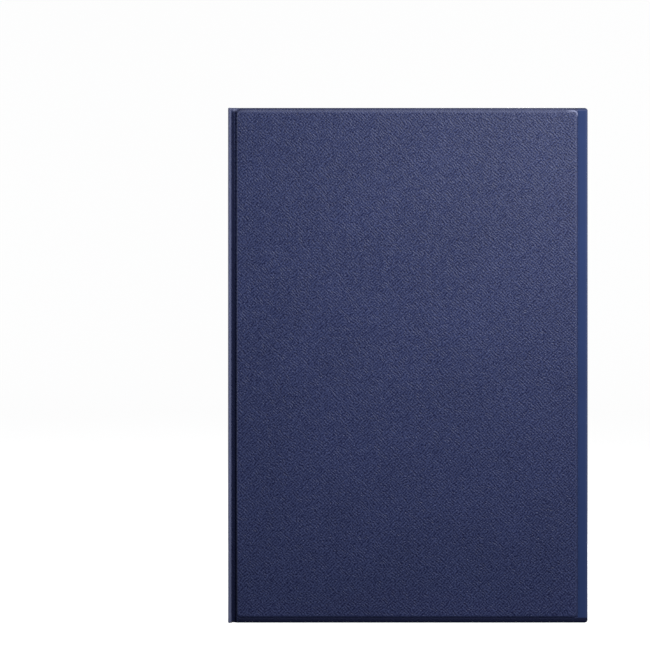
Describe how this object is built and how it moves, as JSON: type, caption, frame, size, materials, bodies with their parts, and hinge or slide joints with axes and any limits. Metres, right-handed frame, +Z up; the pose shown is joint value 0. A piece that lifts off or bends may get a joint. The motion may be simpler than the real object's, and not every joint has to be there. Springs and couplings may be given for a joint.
{
  "type": "tablet keyboard case",
  "caption": "Folio case for a tablet: leather-covered front, spine and back with a kickstand flap, a shell that holds the tablet and a magnetic detachable keyboard.",
  "frame": {"origin": "middle of the closed case's footprint, on the surface it stands on", "axes": "+Z up along the spine, +X from the spine to the free edge, -Y out of the front cover, +Y out of the back cover; closed and standing on its short edge"},
  "size_m": [0.1756, 0.0194, 0.2523],
  "materials": {
    "leather": "pebbled, matt navy",
    "stiff_board": "raw fibreboard",
    "lining": "brushed microfibre",
    "adhesive": "foam tape",
    "shell_plastic": "satin",
    "steel": "satin",
    "magnet": "nickel plated",
    "keyboard_plastic": "fine texture",
    "film": "clear film",
    "silicone": "matt",
    "circuit_board": "solder mask",
    "chip": "matt",
    "cell_foil": "foil",
    "lead_insulation": "matt",
    "light_pipe": "clear",
    "feet": "matt",
    "knob": "matt",
    "keycap": "fine texture"
  },
  "bodies": {
    "back_panel": {"back_skin": "leather", "back_board": "stiff_board", "back_lining": "lining", "shell_adhesive": "adhesive", "tablet_shell": "shell_plastic", "shell_steel_strip": "steel"},
    "flap": {"flap_skin": "leather", "flap_board": "stiff_board", "flap_lining": "lining"},
    "spine": {"spine_skin": "leather", "spine_board": "stiff_board", "spine_lining": "lining"},
    "front_cover": {"front_skin": "leather", "front_board": "stiff_board", "front_lining": "lining", "closure_magnets": "magnet", "stand_magnets": "magnet", "keyboard_steel_plate": "steel", "stop_ridge": "lining"},
    "keyboard": {"keyboard_base": "keyboard_plastic", "keyboard_deck": "keyboard_plastic", "backplate": "steel", "membrane": "film", "dome_sheet": "silicone", "keyboard_pcb": "circuit_board", "pcb_chips": "chip", "battery": "cell_foil", "battery_leads": "lead_insulation", "membrane_tail": "film", "usb_socket": "steel", "switch_body": "keyboard_plastic", "indicator_lights": "light_pipe", "keyboard_magnets": "magnet", "keyboard_screws": "steel", "keyboard_feet": "feet", "space_wire": "steel"},
    "power_switch": {"switch_knob": "knob"},
    "keys_space_row": {"row_space": "keycap"},
    "keys_shift_row": {"row_shift": "keycap"},
    "keys_home_row": {"row_home": "keycap"},
    "keys_top_row": {"row_top": "keycap"},
    "keys_number_row": {"row_number": "keycap"},
    "keys_function_row": {"row_function": "keycap"},
    "space_bar": {"key_space": "keycap"},
    "left_shift": {"key_left_shift": "keycap"},
    "right_shift": {"key_right_shift": "keycap"},
    "caps_lock": {"key_caps": "keycap"},
    "enter": {"key_enter": "keycap"},
    "tab": {"key_tab": "keycap"},
    "backspace": {"key_backspace": "keycap"},
    "escape": {"key_escape": "keycap"},
    "arrow_up": {"key_up": "keycap"},
    "arrow_left": {"key_left": "keycap"},
    "arrow_down": {"key_down": "keycap"},
    "arrow_right": {"key_right": "keycap"}
  },
  "joints": [
    {"name": "stand_fold", "type": "hinge", "parent": "back_panel", "child": "flap", "pos_m": [-0.02745, 0.0081, 0.1258], "axis": [0, 0, -1], "range_deg": [0, 45]},
    {"name": "spine_fold", "type": "hinge", "parent": "flap", "child": "spine", "pos_m": [-0.08535, 0.0072, 0.1258], "axis": [0, 0, -1], "range_deg": [0, 90]},
    {"name": "front_fold", "type": "hinge", "parent": "spine", "child": "front_cover", "pos_m": [-0.0871, -0.00895, 0.1258], "axis": [0, 0, -1], "range_deg": [0, 180]},
    {"name": "keyboard_release", "type": "slide", "parent": "front_cover", "child": "keyboard", "axis": [1, 0, 0], "range_m": [0, 0.12]},
    {"name": "power_switch_slide", "type": "slide", "parent": "keyboard", "child": "power_switch", "axis": [-1, 0, 0], "range_m": [0, 0.002]},
    {"name": "keys_space_row_press", "type": "slide", "parent": "keyboard", "child": "keys_space_row", "axis": [0, -1, 0], "range_m": [0, 0.0015], "stiffness_N_per_m": 2100},
    {"name": "keys_shift_row_press", "type": "slide", "parent": "keyboard", "child": "keys_shift_row", "axis": [0, -1, 0], "range_m": [0, 0.0015], "stiffness_N_per_m": 3500},
    {"name": "keys_home_row_press", "type": "slide", "parent": "keyboard", "child": "keys_home_row", "axis": [0, -1, 0], "range_m": [0, 0.0015], "stiffness_N_per_m": 3850},
    {"name": "keys_top_row_press", "type": "slide", "parent": "keyboard", "child": "keys_top_row", "axis": [0, -1, 0], "range_m": [0, 0.0015], "stiffness_N_per_m": 4550},
    {"name": "keys_number_row_press", "type": "slide", "parent": "keyboard", "child": "keys_number_row", "axis": [0, -1, 0], "range_m": [0, 0.0015], "stiffness_N_per_m": 4550},
    {"name": "keys_function_row_press", "type": "slide", "parent": "keyboard", "child": "keys_function_row", "axis": [0, -1, 0], "range_m": [0, 0.0015], "stiffness_N_per_m": 4550},
    {"name": "space_bar_press", "type": "slide", "parent": "keyboard", "child": "space_bar", "axis": [0, -1, 0], "range_m": [0, 0.0015], "stiffness_N_per_m": 350},
    {"name": "left_shift_press", "type": "slide", "parent": "keyboard", "child": "left_shift", "axis": [0, -1, 0], "range_m": [0, 0.0015], "stiffness_N_per_m": 350},
    {"name": "right_shift_press", "type": "slide", "parent": "keyboard", "child": "right_shift", "axis": [0, -1, 0], "range_m": [0, 0.0015], "stiffness_N_per_m": 350},
    {"name": "caps_lock_press", "type": "slide", "parent": "keyboard", "child": "caps_lock", "axis": [0, -1, 0], "range_m": [0, 0.0015], "stiffness_N_per_m": 350},
    {"name": "enter_press", "type": "slide", "parent": "keyboard", "child": "enter", "axis": [0, -1, 0], "range_m": [0, 0.0015], "stiffness_N_per_m": 350},
    {"name": "tab_press", "type": "slide", "parent": "keyboard", "child": "tab", "axis": [0, -1, 0], "range_m": [0, 0.0015], "stiffness_N_per_m": 350},
    {"name": "backspace_press", "type": "slide", "parent": "keyboard", "child": "backspace", "axis": [0, -1, 0], "range_m": [0, 0.0015], "stiffness_N_per_m": 350},
    {"name": "escape_press", "type": "slide", "parent": "keyboard", "child": "escape", "axis": [0, -1, 0], "range_m": [0, 0.0015], "stiffness_N_per_m": 350},
    {"name": "arrow_up_press", "type": "slide", "parent": "keyboard", "child": "arrow_up", "axis": [0, -1, 0], "range_m": [0, 0.0015], "stiffness_N_per_m": 350},
    {"name": "arrow_left_press", "type": "slide", "parent": "keyboard", "child": "arrow_left", "axis": [0, -1, 0], "range_m": [0, 0.0015], "stiffness_N_per_m": 350},
    {"name": "arrow_down_press", "type": "slide", "parent": "keyboard", "child": "arrow_down", "axis": [0, -1, 0], "range_m": [0, 0.0015], "stiffness_N_per_m": 350},
    {"name": "arrow_right_press", "type": "slide", "parent": "keyboard", "child": "arrow_right", "axis": [0, -1, 0], "range_m": [0, 0.0015], "stiffness_N_per_m": 350}
  ],
  "couplings": [
    {"joint": "spine_fold", "follows": "stand_fold", "ratio": 2}
  ]
}
